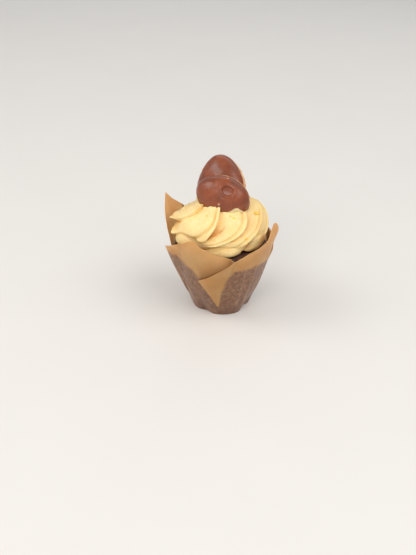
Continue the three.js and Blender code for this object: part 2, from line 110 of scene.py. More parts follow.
class Bench:
    def __init__(self, tree):
        self.tree = tree

    # every node comes from here: its type, its settings, and what goes into its sockets
    def node(self, kind, settings=None, inputs=None, out=0):
        made = self.tree.nodes.new(kind)
        for name, value in (settings or {}).items():
            if name == "curve":
                setCurve(made.mapping, value)
            else:
                setattr(made, name, value)
        for name, value in (inputs or {}).items():
            self.plug(made.inputs[name], value)
        return Value(self, made.outputs[out]) if len(made.outputs) else None

    def plug(self, socket, value):
        if isinstance(value, Value):
            self.tree.links.new(value.socket, socket)
        elif socket.type == "VECTOR" and isinstance(value, (int, float)):
            socket.default_value = (value, value, value)
        elif value is not None:
            socket.default_value = value

    def split(self, vector):
        first = self.node("ShaderNodeSeparateXYZ", {}, {0: vector})
        return [Value(self, socket) for socket in first.socket.node.outputs]

    def join(self, x, y, z):
        return self.node("ShaderNodeCombineXYZ", {}, {0: x, 1: y, 2: z})

    def random(self, low, high, seed):
        ends = {2: low, 3: high, "Seed": seed}
        return self.node("FunctionNodeRandomValue", {"data_type": "FLOAT"}, ends, 1)

    # geometry with its points moved, by Offset or to Position
    def moved(self, geometry, **how):
        return self.node("GeometryNodeSetPosition", {}, {"Geometry": geometry, **how})

    # a value that the mesh carries, in a geometry tree
    def carried(self, name, kind="FLOAT"):
        return self.node("GeometryNodeInputNamedAttribute", {"data_type": kind}, {"Name": name})

    # a curve through points of x and y in their own units, smooth or with straight stretches
    def curve(self, x, points, straight=False):
        xs, ys = zip(*points)
        x0, x1, y0, y1 = xs[0], xs[-1], min(ys), max(ys)
        y1 = y1 if y1 > y0 else y0 + 1
        scaled = [((px - x0) / (x1 - x0), (py - y0) / (y1 - y0)) for px, py in points]
        setting = {"curve": (scaled, "VECTOR" if straight else "AUTO")}
        line = self.node("ShaderNodeFloatCurve", setting, {"Value": (x - x0) / (x1 - x0)})
        return line * (y1 - y0) + y0


def setCurve(mapping, curve):
    points, handle = curve
    line = mapping.curves[0]
    line.points[0].location = points[0]
    line.points[1].location = points[-1]
    for point in points[1:-1]:
        line.points.new(*point)
    for point in line.points:
        point.handle_type = handle
    mapping.update()


# a colour as seen on a screen, in 0 to 255, as a shader takes it
def paint(red, green, blue):
    def linear(level):
        level /= 255
        return level / 12.92 if level <= 0.04045 else ((level + 0.055) / 1.055) ** 2.4

    return (linear(red), linear(green), linear(blue), 1.0)


# Finishes


# a new material, its tree, and the place on the object in millimetres
def newFinish(name):
    material = bpy.data.materials.new(name)
    material.use_nodes = True
    material.node_tree.nodes.clear()
    bench = Bench(material.node_tree)
    return material, bench, bench.node("ShaderNodeTexCoord", {}, {}, "Object") * (1 / mm)


def attribute(bench, name, out="Fac"):
    return bench.node("ShaderNodeAttribute", {"attribute_name": name}, {}, out)


# how far light goes into the surface: the share that does, its colours, and how deep in millimetres
def glow(weight, radius, depth):
    return {"Subsurface Weight": weight, "Subsurface Radius": radius, "Subsurface Scale": depth * mm}


def finishWith(bench, surface, height=None, depth=0.3):
    if height is not None:
        bump = {"Height": height, "Strength": 1.0, "Distance": depth * mm}
        surface["Normal"] = bench.node("ShaderNodeBump", {}, bump)
    shader = bench.node("ShaderNodeBsdfPrincipled", {}, surface)
    bench.node("ShaderNodeOutputMaterial", {}, {"Surface": shader})


# colours laid one over the other, each with how much of it shows
def layered(colour, *coats):
    for shown, coat in coats:
        colour = shown.mix(colour, coat)
    return colour


def buttercreamFinish():
    look = {
        "face": paint(247, 215, 147),
        "pale": paint(250, 224, 161),
        "warm": paint(244, 207, 133),
        # furrow: the colour of painted shade in the furrows and creases
        "furrow": paint(233, 172, 97),
        "fleck": paint(250, 218, 96),
    }
    material, bench, place = newFinish("pipedButtercream")
    deep = attribute(bench, "furrow").of("MINIMUM", 1.0)
    patches = place.noise(0.11, 3).step(0.35, 0.7)
    streaks = (place * (1.0, 1.0, 2.2)).noise(0.35, 4).step(0.42, 0.7)
    creaseShade = attribute(bench, "crease").step(0.5, 1.9)
    oil = place.noise(1.1, 2).step(0.69, 0.76)
    colour = layered(
        look["face"],
        (patches, look["pale"]),
        (streaks * 0.35, look["warm"]),
        # painted shade: the deeper furrows and the creases turn orange-brown
        (deep.step(0.3, 1.05) * 0.75, look["furrow"]),
        (creaseShade * 0.6, look["furrow"]),
        (oil * 0.35, look["fleck"]),
    )
    fine = place.noise(2.6, 4, 0.6)
    pores = place.noise(1.3, 1).step(0.25, 0.33)
    surface = {
        "Base Color": colour,
        "Roughness": place.noise(0.4, 3).mix(0.36, 0.56),
        "Specular IOR Level": 0.42,
        **glow(0.25, (1.0, 0.62, 0.3), 1.3),
    }
    finishWith(bench, surface, fine * 0.5 + pores * 0.5, 0.16)
    return material


def zestFinish():
    look = {"peel": paint(250, 196, 56), "light": paint(253, 220, 92)}
    material, bench, place = newFinish("zest")
    spots = place.noise(0.9, 3)
    surface = {
        "Base Color": spots.step(0.35, 0.65).mix(look["peel"], look["light"]),
        "Roughness": spots.mix(0.3, 0.5),
        **glow(0.3, (1.0, 0.6, 0.2), 1.2),
    }
    finishWith(bench, surface, place.noise(3.0, 3), 0.15)
    return material


def chocolateFinish():
    look = {
        "body": paint(145, 73, 39),
        "dark": paint(116, 57, 31),
        "light": paint(164, 98, 62),
        # chip: pale, the colour of a painted highlight on the chips
        "chip": paint(206, 152, 124),
    }
    material, bench, place = newFinish("milkChocolate")
    clouds = place.noise(0.09, 4, 0.55)
    grain = place.noise(1.5, 4, 0.6)
    # edge: the band along the open rim, which is painted with shade
    edge = attribute(bench, "edge")
    paleGlint = attribute(bench, "chip").step(0.15, 0.8)
    colour = layered(
        look["dark"],
        (clouds.step(0.3, 0.7), look["body"]),
        (grain.step(0.5, 0.8) * 0.35, look["light"]),
        # painted shade along the open rim, where the dome's steep side turns from the light
        (edge * 0.6, look["dark"]),
        # painted highlight: the chips are laid pale
        (paleGlint * 0.8, look["chip"]),
    )
    pits = place.noise(0.9, 2).step(0.24, 0.34)
    surface = {
        "Base Color": colour,
        "Roughness": clouds * 0.14 + grain * 0.14 + edge * 0.3 + 0.11,
        "Specular IOR Level": 0.5,
        **glow(0.12, (1.0, 0.45, 0.3), 1.2),
    }
    finishWith(bench, surface, grain * 0.7 + pits * 0.4 + clouds * 2.0, 0.12)
    return material


def fillingFinish():
    look = {"caramel": paint(226, 172, 124), "deep": paint(202, 138, 94), "pale": paint(238, 198, 154)}
    material, bench, place = newFinish("caramelFilling")
    crumbs = place.noise(0.8, 3, 0.55)
    colour = crumbs.step(0.3, 0.65).mix(look["deep"], look["caramel"])
    colour = (place.noise(0.2, 2).step(0.45, 0.75) * 0.8).mix(colour, look["pale"])
    surface = {
        "Base Color": colour,
        "Roughness": crumbs.mix(0.45, 0.7),
        **glow(0.15, (1.0, 0.6, 0.3), 1.5),
    }
    finishWith(bench, surface, crumbs, 0.25)
    return material


def spongeFinish():
    look = {"crumb": paint(108, 72, 58), "dark": paint(66, 41, 34), "light": paint(142, 100, 80)}
    material, bench, place = newFinish("chocolateSponge")
    crumb = place.noise(0.55, 5, 0.65)
    cells = bench.node("ShaderNodeTexVoronoi", {}, {"Vector": place, "Scale": 0.6}, "Distance")
    colour = crumb.step(0.35, 0.6).mix(look["dark"], look["crumb"])
    colour = (crumb.step(0.55, 0.75) * 0.6).mix(colour, look["light"])
    surface = {"Base Color": colour, "Roughness": crumb.mix(0.7, 0.95), "Specular IOR Level": 0.25}
    finishWith(bench, surface, crumb + cells * 0.6, 0.7)
    return material


def parchmentFinish():
    look = {
        "tan": paint(200, 145, 88),
        "gold": paint(191, 131, 72),
        "pale": paint(210, 162, 109),
        "soaked": paint(142, 98, 69),
        "soakedDark": paint(110, 71, 49),
        "soakedPale": paint(164, 125, 95),
        # stain: the colour of painted shade above the front flap's top edge
        "stain": paint(152, 100, 48),
        "paleRidgeGlint": paint(186, 150, 118),
    }
    material, bench, place = newFinish("bakingParchment")
    fibres = (place * (1.0, 1.0, 0.35)).noise(1.6, 4, 0.65)
    broad = place.noise(0.06, 3)
    dry = broad.step(0.35, 0.68).mix(look["gold"], look["tan"])
    dry = (fibres.step(0.5, 0.78) * 0.4).mix(dry, look["pale"])
    # grease from the cake: dark where it touches, mottled, with a soft uneven border
    border = attribute(bench, "soak") + (place.noise(0.16, 4) - 0.5) * 5.0
    wet = border.step(-1.6, 2.6)
    mottle = place.noise(0.34, 5, 0.62)
    veins = bench.node("ShaderNodeTexVoronoi", {"feature": "DISTANCE_TO_EDGE"}, {
        "Vector": place + place.noise(0.3, 3) * 2.4,
        "Scale": 0.27,
    })
    specks = place.noise(1.1, 3, 0.6).step(0.42, 0.7)
    low = 1 - bench.split(place)[2].step(2.0, 24.0)
    soaked = layered(
        look["soakedDark"],
        (mottle.step(0.34, 0.62), look["soaked"]),
        (mottle.step(0.55, 0.72) * 0.6, look["soakedPale"]),
        ((1 - veins.step(0.0, 0.16)) * 0.12, look["soakedPale"]),
        (specks * 0.3, look["soakedPale"]),
        (low * place.noise(0.09, 2).step(0.3, 0.6) * 0.55, look["soakedDark"]),
    )
    # painted shade just above the front flap's top edge
    flapShaded = attribute(bench, "stain").of("MINIMUM", 1.0)
    # pale along the ridges of the folds: paper the grease missed, with a painted highlight on the ridge
    paleGlint = attribute(bench, "crease") * (place.noise(0.25, 2).step(0.35, 0.65) * 0.5)
    colour = layered(dry, (wet, soaked), (flapShaded, look["stain"]), (paleGlint, look["paleRidgeGlint"]))
    creases = place.noise(0.13, 3).of("SUBTRACT", 0.5)
    creases = 1 - abs(creases).step(0.0, 0.035)
    relief = fibres * 0.25 + mottle * wet * 0.9 + creases * 0.16 - veins.step(0.0, 0.1) * wet * 0.12
    surface = {
        "Base Color": colour,
        "Roughness": wet.mix(0.52, 0.44) + fibres * 0.1,
        "Specular IOR Level": 0.35,
        "Sheen Weight": 0.15,
        "Sheen Roughness": 0.5,
        **glow(0.9, (1.0, 0.9, 0.75), 2.4),
    }
    finishWith(bench, surface, relief, 0.22)
    return material


def floorFinish():
    material, bench, place = newFinish("paleFloor")
    tone = place.noise(0.01, 2).mix(paint(226, 223, 217), paint(230, 227, 221))
    finishWith(bench, {"Base Color": tone, "Roughness": 0.55, "Specular IOR Level": 0.3})
    return material


# Meshes


def newObject(name, data):
    made = bpy.data.objects.new(name, data)
    scene.collection.objects.link(made)
    return made


def meshPiece(name, vertices, faces, material, values=None, sharpAngle=None):
    mesh = bpy.data.meshes.new(name)
    mesh.from_pydata([tuple(v) for v in np.asarray(vertices) * mm], [], faces)
    for label, numbers in (values or {}).items():
        layer = mesh.attributes.new(label, "FLOAT", "POINT")
        layer.data.foreach_set("value", np.asarray(numbers, dtype=np.float32))
    mesh.shade_smooth()
    if sharpAngle:
        mesh.set_sharp_from_angle(angle=math.radians(sharpAngle))
    mesh.materials.append(material)
    return newObject(name, mesh)


# Faces between rings of points. A ring is a list of indices, and a single index closes an end.
def ringFaces(rings):
    faces = []
    for low, high in zip(rings, rings[1:]):
        count = max(len(low), len(high))
        for j in range(count):
            k = (j + 1) % count
            quad = [low[j % len(low)], low[k % len(low)], high[k % len(high)], high[j % len(high)]]
            faces.append([v for i, v in enumerate(quad) if v not in quad[:i]])
    return faces


# a ring of one point, on the axis
def tip(height):
    return np.array([[0.0, 0.0, height]])


# Stacks rings, each an array of points, and gives all the points and the faces between the rings.
def stackRings(rings):
    starts = np.cumsum([0] + [len(ring) for ring in rings])
    indices = [list(range(a, b)) for a, b in zip(starts, starts[1:])]
    return np.concatenate(rings), ringFaces(indices)


# A closed sheet between two grids of the same size; the outer one faces away from the inner.
def sheetFaces(rows, columns):
    faces, borders = [], []
    for side, turn in zip(np.arange(2 * rows * columns).reshape(2, rows, columns), (1, -1)):
        quads = np.stack([side[:-1, :-1], side[:-1, 1:], side[1:, 1:], side[1:, :-1]], axis=-1)
        faces += quads[..., ::turn].reshape(-1, 4).tolist()
        # once round the edge of the sheet
        borders.append(np.concatenate([side[0, :-1], side[:-1, -1], side[-1, :0:-1], side[:0:-1, 0]]))
    outer, inner = borders
    rim = np.stack([inner, np.roll(inner, -1), np.roll(outer, -1), outer], axis=-1)
    return faces + rim.tolist()


def lerp(a, b, t):
    return a + (b - a) * t


def smoothStep(x, low, high):
    t = np.clip((np.asarray(x, dtype=float) - low) / (high - low), 0, 1)
    return t * t * (3 - 2 * t)


def bell(x):
    return np.exp(-np.square(x))


# directions of length 1, but shorter where the vectors are
def directions(vectors):
    return vectors / np.maximum(np.linalg.norm(vectors, axis=1, keepdims=True), 1)


def turnBetween(a, b):
    return (np.asarray(a, dtype=float) - b + 180) % 360 - 180


def noiseAt(points, size, octaves=1, shift=0.0):
    offset = Vector((shift, 2 * shift, -shift))
    place = [Vector(p) / size + offset for p in points]
    if octaves == 1:
        return np.array([noise.noise(p) for p in place])
    return np.array([noise.fractal(p, 0.8, 2.1, octaves) for p in place])


def faceCounts(pieces):
    return [len(piece.data.polygons) for piece in pieces]


# Geometry Nodes


def newTree(name, sizes):
    tree = bpy.data.node_groups.new(name, "GeometryNodeTree")
    tree.interface.new_socket("Geometry", in_out="INPUT", socket_type="NodeSocketGeometry")
    tree.interface.new_socket("Geometry", in_out="OUTPUT", socket_type="NodeSocketGeometry")
    for label, value in sizes.items():
        kind = "NodeSocketInt" if isinstance(value, int) else "NodeSocketFloat"
        tree.interface.new_socket(label, in_out="INPUT", socket_type=kind).default_value = value
    bench = Bench(tree)
    given = bench.node("NodeGroupInput").socket.node
    return bench, {socket.name: Value(bench, socket) for socket in given.outputs}


# Ends a tree, runs it on a mesh, or on nothing, and keeps the result as a plain mesh.
def growPiece(name, bench, geometry, material, base=None):
    whole = bench.node("GeometryNodeRealizeInstances", {}, {"Geometry": geometry})
    whole = bench.node("GeometryNodeSetMaterial", {}, {"Geometry": whole, "Material": material})
    bench.node("NodeGroupOutput", {}, {"Geometry": whole})
    piece = newObject(name, base or bpy.data.meshes.new(name))
    modifier = piece.modifiers.new("shape", "NODES")
    modifier.node_group = bench.tree
    bpy.context.view_layer.update()
    graph = bpy.context.evaluated_depsgraph_get()
    shaped = piece.evaluated_get(graph)
    mesh = bpy.data.meshes.new_from_object(shaped, preserve_all_data_layers=True, depsgraph=graph)
    piece.modifiers.remove(modifier)
    piece.data = mesh
    mesh.name = name
    mesh.shade_smooth()
    mesh.materials.clear()
    mesh.materials.append(material)
    return piece


# Eggs: their directions are shared with the buttercream that they are pressed into.

eggs = [
    {
        "name": "rear",
        "centre": (-3.5, 19.4, 103.8),
        "dome": {"azimuth": 227, "elevation": 24, "height": 14.8},
        "roll": 115,
        "halfLength": 23,
        "halfWidth": 21.9,
        "taper": 0.29,
        "fillingProud": 4.8,
        "fillingTilt": 0.4,  # the filling stands out less at the narrow end
        "dimple": None,
        # place on the dome, size and height of chips and blisters
        "chips": [(9.8, 10.6, 1.35, 0.7), (2.0, -12.0, 0.9, 0.25)],
    },
    {
        "name": "front",
        "centre": (-2, -7.2, 101.6),
        "dome": {"azimuth": 249, "elevation": 15, "height": 14.8},
        "roll": -14,
        "halfLength": 23.3,
        "halfWidth": 17.6,
        "taper": -0.08,
        "fillingProud": 3,
        "fillingTilt": 0,
        "dimple": {"at": (5.3, 9.5), "halfLength": 5.2, "halfWidth": 3.9, "depth": 1.7, "ring": 0.6},
        "chips": [
            (3.1, -3.1, 1.25, 0.6),
            (-0.7, 16.9, 1.25, 0.5),
            (15.5, -1.5, 0.9, 0.3),
            (11.0, -6.0, 0.6, 0.25),
        ],
    },
]
eggShape = {
    "fullness": 2.4,
    "wall": 1.8,
    "edgeRounding": 0.32,
    "edgeRows": 5,
    "columns": 260,
    "domeRows": 130,
    "unevenness": 0.28,
    "grain": 0.035,
    "chipEdge": (0.35, 1.1),
    "dimpleWall": (0.8, 1.0),  # in shares of the dimple's size, as are the next two
    "ringAt": 1.18,
    "ringWidth": 0.16,
    # from the open face to the shell: shares of what stands out and of the egg's size, and outwards
    "fillingProfile": [(1, 0.001, 0), (1, 0.45, 0), (0.98, 0.72, 0), (0.9, 0.89, 0), (0.66, 0.99, 0),
                       (0.35, 1, 0)],
    "fillingEnd": (-0.2, 1, -0.15),
    "fillingRows": 40,
    "fillingGap": 0.25,
    "fillingRelief": 0.22,
}


def eggAxes(egg):
    phi = math.radians(egg["dome"]["azimuth"])
    tilt = math.radians(egg["dome"]["elevation"])
    turn = math.radians(egg["roll"])
    apex = Vector((math.cos(tilt) * math.cos(phi), math.cos(tilt) * math.sin(phi), math.sin(tilt)))
    level = Vector((-math.sin(phi), math.cos(phi), 0))
    up = apex.cross(level)
    long = level * math.cos(turn) + up * math.sin(turn)
    return long, apex.cross(long), apex


# Buttercream: a rope piped in turns. Each petal rises across its face to a curled lip, then drops
# steeply into the furrow before the next one.

piping = {
    "seed": 3,
    "wander": 5.0,  # degrees that a crest drifts from its line
    "lipWobble": 0.9,
    "streaksInPetal": 15,
    "tornHeight": 3.0,
    "dimples": 0.1,
    "weld": 0.01,
    "apart": 0.014,  # share of the outline to each side of a place, between which its slope is taken
}
# how the buttercream gives way to an egg; clear, softness and the edge's place are shares of its size
pressing = {
    "room": 0.4,  # millimetres behind the filling
    "clear": 1.012,
    "softness": 0.05,
    "edgeAt": 1.06,
    "edgeWidth": 0.07,
    "edgeAbove": (86, 92),
    "edgeHeight": 0.3,
    "raggedHeight": 1.5,
}
swirl = {
    "name": "buttercream_swirl",
    "centre": (-4, 0),
    "columnsPerPetal": 60,
    "rows": 168,
    "poles": (0.05, 0.06),  # shares of the rows that close the ends
    # radius, height and depth of the furrows, from the lower edge to the top
    "outline": [
        (31, 66.5, 0.0), (36.5, 68.6, 3.0), (39.6, 70.8, 5.4), (41, 74, 7.2), (41, 77.2, 7.8),
        (40.2, 80.6, 8.0), (38.4, 84, 7.8), (35.2, 87.4, 7.0), (31, 90.4, 5.6), (25, 93.4, 4.0),
        (17, 95.2, 2.2), (8, 96, 1.2),
    ],
    # azimuth of each crest at even steps from the lower edge to the top
    "crests": [
        (-24, -2, 20, 34, 48, 56), (12, 31, 48, 60, 70, 78), (50, 66, 78, 86, 94, 102),
        (92, 104, 112, 118, 124, 130), (138, 150, 168, 216, 222, 228), (216, 244, 253, 260, 266, 262),
        (237, 258, 287, 301, 311, 318), (292, 296, 312, 329, 361, 374), (318, 332, 350, 366, 392, 402),
    ],
    "spacing": [(0, 0), (0.3, 0.11), (0.5, 0.36), (0.78, 0.87), (1, 1)],
    "face": [(0, 1), (0.015, 0.9), (0.04, 0.3), (0.065, 0), (0.3, 0.28), (0.6, 0.62), (0.86, 0.85),
             (0.918, 0.77), (0.95, 0.93), (0.985, 1.03), (1, 1)],
    "lean": [(0, 1), (0.02, 0.85), (0.05, 0.35), (0.08, 0), (0.6, 0), (0.85, 0.35), (1, 1)],
    "curl": 4.2,
    "slope": 0.14,
    "eggsPress": True,
    # where it swells: azimuth, spread, share of the outline, reach, how far outwards and upwards
    "swells": [
        (268, 50, 0.87, 0.1, 0, 2.2), (5, 42, 0.76, 0.2, 2.8, 3.2), (295, 8, 0.88, 0.09, 0, 2.6),
        (326, 14, 0.86, 0.09, 0, -1.5), (187, 10, 0.46, 0.07, 1.8, 0.3),
        (196, 10, 0.16, 0.09, 4.4, -2.6), (222, 18, 0.0, 0.2, -3.0, 6.0),
        (230, 12, 0.12, 0.13, -2.5, 4.0),
    ],
    # where a furrow is filled up: azimuth, spread, share of the outline, reach, how much of its depth
    "filled": [(216, 22, 0.62, 0.2, 0.72), (268, 12, 0.7, 0.15, 0.3)],
    # creases that run with the rope: petal, places across it low and high on the outline, width
    # before and after the crease, depth, and the shares of the outline where they start and end
    "lines": [
        (4, 0.9, 0.92, 0.03, 0.014, 1.2, 0.2, 0.9), (5, 0.22, 0.39, 0.15, 0.02, 1.6, 0.1, 0.66),
        (5, 0.88, 0.91, 0.026, 0.014, 1.0, 0.25, 0.9), (6, 0.5, 0.62, 0.06, 0.06, 0.4, 0.3, 0.8),
        (6, 0.88, 0.91, 0.025, 0.016, 0.9, 0.25, 0.9), (7, 0.2, 0.5, 0.14, 0.04, 0.8, 0.2, 0.7),
        (8, 0.15, 0.5, 0.16, 0.03, 1.2, 0.2, 0.65), (0, 0.86, 0.9, 0.03, 0.02, 0.5, 0.2, 0.85),
        (1, 0.12, 0.42, 0.18, 0.03, 1.4, 0.2, 0.6), (2, 0.5, 0.62, 0.06, 0.05, 0.6, 0.3, 0.8),
        (3, 0.3, 0.42, 0.16, 0.04, 1.6, 0.2, 0.75), (3, 0.6, 0.68, 0.12, 0.03, 0.9, 0.3, 0.7),
    ],
    "streaks": 0.64,
    "lumps": 0.9,
    "tornRadius": 30,
    # torn places: azimuth, height, reach and depth
    "torn": [(186, 91, 11, 0.6), (197, 80, 4, 0.3), (290, 91, 8, 0.5), (20, 92, 6, 0.3), (110, 91, 8, 0.6)],
}
firstTurn = {
    "name": "buttercream_first_turn",
    "centre": (-4, 0),
    "columnsPerPetal": 56,
    "rows": 64,
    "poles": (0.04, 0.04),
    "outline": [
        (31, 60.35, 5.5), (35, 60.5, 6.6), (37.3, 61.5, 7), (38.3, 63.2, 7), (38.4, 65.2, 7),
        (37.9, 67.4, 7), (36.6, 69.4, 6.4), (33.4, 71, 5),
    ],
    "crests": [
        (32, 35, 42, 48), (90, 93, 99, 104), (148, 150, 157, 162), (205, 207, 214, 219),
        (276, 278, 284, 290), (329, 331, 338, 343),
    ],
    "spacing": [(0, 0), (0.3, 0.34), (0.5, 0.5), (0.7, 0.66), (1, 1)],
    "face": [(0, 1), (0.15, 0.96), (0.3, 0.83), (0.4, 0.63), (0.46, 0.36), (0.5, 0), (0.54, 0.36),
             (0.6, 0.63), (0.7, 0.83), (0.85, 0.96), (1, 1)],
    "lean": [(0, 0), (0.3, 0), (0.5, 0), (0.62, 0.4), (0.8, 0.2), (1, 0)],
    "curl": 1.2,
    "slope": 0,
    "eggsPress": False,
    "swells": [(215, 22, 1.0, 0.6, 0.5, 4.0), (328, 20, 0.85, 0.4, 4.0, 6.5)],
    "filled": [],
    "lines": [
        (4, 0.45, 0.14, 0.02, 0.03, 0.8, 0.25, 0.95), (3, 0.55, 0.75, 0.04, 0.04, 0.5, 0.2, 0.9),
        (1, 0.2, 0.5, 0.04, 0.04, 0.6, 0.2, 0.9),
    ],
    "streaks": 0.512,
    "lumps": 0.8,
    "torn": [],
}


def along(bench, share, shape, column):
    count = len(shape["outline"]) - 1
    return bench.curve(share, [(i / count, row[column]) for i, row in enumerate(shape["outline"])])


# Azimuth of a place between the crests: smooth lines through the crests' steps, by cubic splines.
def crestLines(bench, shape, spot, share):
    crests = shape["crests"]
    turned = crests + [tuple(azimuth + 360 for azimuth in crests[0])]
    last = len(crests[0]) - 1

    def weight(step):
        away = abs(share * last - step)
        near, far = (1 - away).of("MAXIMUM", 0.0), (2 - away).of("MAXIMUM", 0.0)
        return (far ** 3 - near ** 3 * 4) / 6

    weights = [weight(step) for step in range(-1, last + 2)]
    before, weights, after = weights[0], weights[1:-1], weights[-1]
    # the lines run on straight past both ends
    weights[0] += before * 2
    weights[1] -= before
    weights[-1] += after * 2
    weights[-2] -= after
    total = 0.0
    for step, part in enumerate(weights):
        line = [(i, row[step]) for i, row in enumerate(turned)]
        total = bench.curve(spot, line, straight=True) * part + total
    return total


# 1 at a spot on the rope's outline, and less away from it
def nearSpot(azimuth, share, towards, spread, at, reach):
    beside = (azimuth - towards + 540).of("FLOORED_MODULO", 360.0) - 180
    return beside.bell(spread) * (share - at).bell(reach)


# How deep the creases along the rope are at each place.
def creaseDepth(bench, shape, petal, across, share):
    total = 0.0
    for index, start, end, before, after, depth, low, high in shape["lines"]:
        here = 1 - abs(petal - index).of("MINIMUM", 1.0)
        off = across - (start + (end - start) * share.step(low, high))
        ends = share.step(low - 0.1, low + 0.08) * (1 - share.step(high - 0.14, high + 0.04))
        wide = off.of("GREATER_THAN", 0.0).mix(before, after)
        total = (off / wide).bell() * ends * here * depth + total
    return total


# Pulls the surface up and down in ragged bits round the torn places.
def tornUp(bench, shape, place):
    for towards, level, reach, depth in shape["torn"]:
        angle, out = math.radians(towards), shape["tornRadius"]
        middle = (shape["centre"][0] + out * math.cos(angle), out * math.sin(angle), level)
        ragged = place.noise(0.36, 4, 0.6).step(0.38, 0.62) - 0.5
        near = 1 - place.of("DISTANCE", middle).step(reach * 0.4, reach)
        place = place + bench.join(0.35, 0.2, 1.0) * (ragged * piping["tornHeight"] * depth * near)
    return place


# Lumps and fine dimples, and the ends of the grid welded into one closed surface.
def lumpy(bench, geometry, lumpHeight):
    position = bench.node("GeometryNodeInputPosition") * (1 / mm)
    lumps = (position.noise(0.16, 3) - 0.5) * lumpHeight
    dimples = (position.noise(0.9, 2) - 0.5) * piping["dimples"]
    offset = bench.node("GeometryNodeInputNormal") * ((lumps + dimples) * mm)
    whole = {"Geometry": bench.moved(geometry, Offset=offset), "Distance": piping["weld"] * mm}
    return bench.node("GeometryNodeMergeByDistance", {}, whole)


def pipedTree(shape):
    sizes = {
        "Petal columns": shape["columnsPerPetal"],
        "Rows": shape["rows"],
        "Curl": float(shape["curl"]),
        "Streak depth": float(shape["streaks"]),
        "Lump height": float(shape["lumps"]),
        "Seed": piping["seed"],
    }
    bench, size = newTree(shape["name"], sizes)
    petals = len(shape["crests"])
    columns = size["Petal columns"] * petals + 1
    grid = bench.node("GeometryNodeMeshGrid", {}, {"Vertices X": columns, "Vertices Y": size["Rows"]})
    around, up, _ = bench.split(Value(bench, grid.socket.node.outputs["UV Map"]))
    lowPole, highPole = shape["poles"]
    share = ((up - lowPole) / (1 - lowPole - highPole)).clipped()
    closing = (up / lowPole).of("MINIMUM", 1.0) * ((1 - up) / highPole).of("MINIMUM", 1.0)

    # which petal, and how far across it
    spot = around * petals
    petal = (spot - 0.0001).of("MAXIMUM", 0.0).of("FLOOR")
    across = bench.curve(spot - petal, shape["spacing"])
    azimuth = crestLines(bench, shape, petal + across, share)

    seed = size["Seed"] * 7.3
    drift = bench.join(share * 3.0, petal, seed).noise(1.0, 2) - 0.5
    lipWobble = bench.join(share * 26, petal * 5.0, seed).noise(1.0, 3) - 0.5
    radius = along(bench, share, shape, 0)
    height = along(bench, share, shape, 1)
    for *where, outwards, upwards in shape["swells"]:
        swell = nearSpot(azimuth, share, *where)
        radius = radius + swell * outwards
        height = height + swell * upwards
    furrow = along(bench, share, shape, 2)
    before, after = share - piping["apart"], share + piping["apart"]
    rise = along(bench, after, shape, 1) - along(bench, before, shape, 1)
    run = along(bench, after, shape, 0) - along(bench, before, shape, 0)
    length = (rise * rise + run * run).of("SQRT").of("MAXIMUM", 0.001)

    face = bench.curve(across, shape["face"])
    lean = bench.curve(across, shape["lean"])
    lip = (1 - across).bell(0.05) + across.bell(0.03)
    for *where, amount in shape["filled"]:
        furrow = furrow * (1 - nearSpot(azimuth, share, *where) * amount)
    crease = creaseDepth(bench, shape, petal, across, share)
    groove = furrow * (1 - face) + crease
    # fine streaks left by the nozzle's teeth
    teeth = bench.join((petal + across) * piping["streaksInPetal"], share * 1.6, seed)
    streaks = teeth.noise(1.0, 3, 0.6) - 0.5
    edgeFree = share.step(0.02, 0.15) * (1 - lip * 0.7)
    groove = groove + streaks * edgeFree * size["Streak depth"]
    groove = groove - lip * lipWobble * piping["lipWobble"] * share.step(0.05, 0.2)

    over = size["Curl"] * lean * furrow / 8 / radius * (180 / math.pi)
    wander = drift * piping["wander"] * share.step(0.1, 0.4)
    phi = (azimuth + over + wander) * (math.pi / 180)
    far = (radius - groove * rise / length).of("MAXIMUM", 0.5)
    high = height + groove * run / length
    x = far * phi.of("COSINE") * closing
    y = far * phi.of("SINE") * closing
    low, top = shape["outline"][0][1], shape["outline"][-1][1]
    raised = ((high - low) / (top - low)).clipped()
    high = high - shape["slope"] * y * raised
    place = bench.join(x + shape["centre"][0], y + shape["centre"][1], high)
    place = tornUp(bench, shape, place)
    for egg in eggs if shape["eggsPress"] else []:
        place = pressedBy(bench, place, egg)

    rope = lumpy(bench, bench.moved(grid, Position=place * mm), size["Lump height"])
    # how deep the furrows and creases are, which the finish paints as shade
    for name, value in {"furrow": groove / 7, "crease": crease}.items():
        stored = {"Geometry": rope, "Name": name, "Value": value}
        kinds = {"data_type": "FLOAT", "domain": "POINT"}
        rope = bench.node("GeometryNodeStoreNamedAttribute", kinds, stored)
    return bench, rope


# Moves what would lie inside an egg out to its surface, and raises a ragged edge round it.
def pressedBy(bench, place, egg):
    long, wide, apex = eggAxes(egg)
    middle = tuple(egg["centre"])
    rel = place - middle
    a, b, c = [rel.of("DOT_PRODUCT", tuple(axis)) for axis in (long, wide, apex)]
    a = a / egg["halfLength"]
    width = (1 - egg["taper"] * a).of("MAXIMUM", 0.5) * egg["halfWidth"]
    behind = c.of("LESS_THAN", 0.0)
    proud = (1 - a * egg["fillingTilt"]) * egg["fillingProud"]
    deep = behind.mix(egg["dome"]["height"], proud + pressing["room"])
    flat = a * a + (b / width) * (b / width)
    power = eggShape["fullness"]
    inside = flat ** (power / 2) + (abs(c) / deep) ** power
    inside = (inside ** (1 / power)).of("MAXIMUM", 0.02)
    pressed = inside.of("SMOOTH_MAX", pressing["clear"], pressing["softness"])
    ragged = place.noise(0.3, 3).step(0.35, 0.7) * pressing["raggedHeight"]
    _, _, level = bench.split(place)
    edge = (inside - pressing["edgeAt"]).bell(pressing["edgeWidth"]) * level.step(*pressing["edgeAbove"])
    edge = edge * (pressing["edgeHeight"] + ragged)
    return rel * (pressed / inside) + middle + bench.join(0.0, 0.0, edge)


# Zest: where the flakes lie, as azimuth round the swirl, height and length.

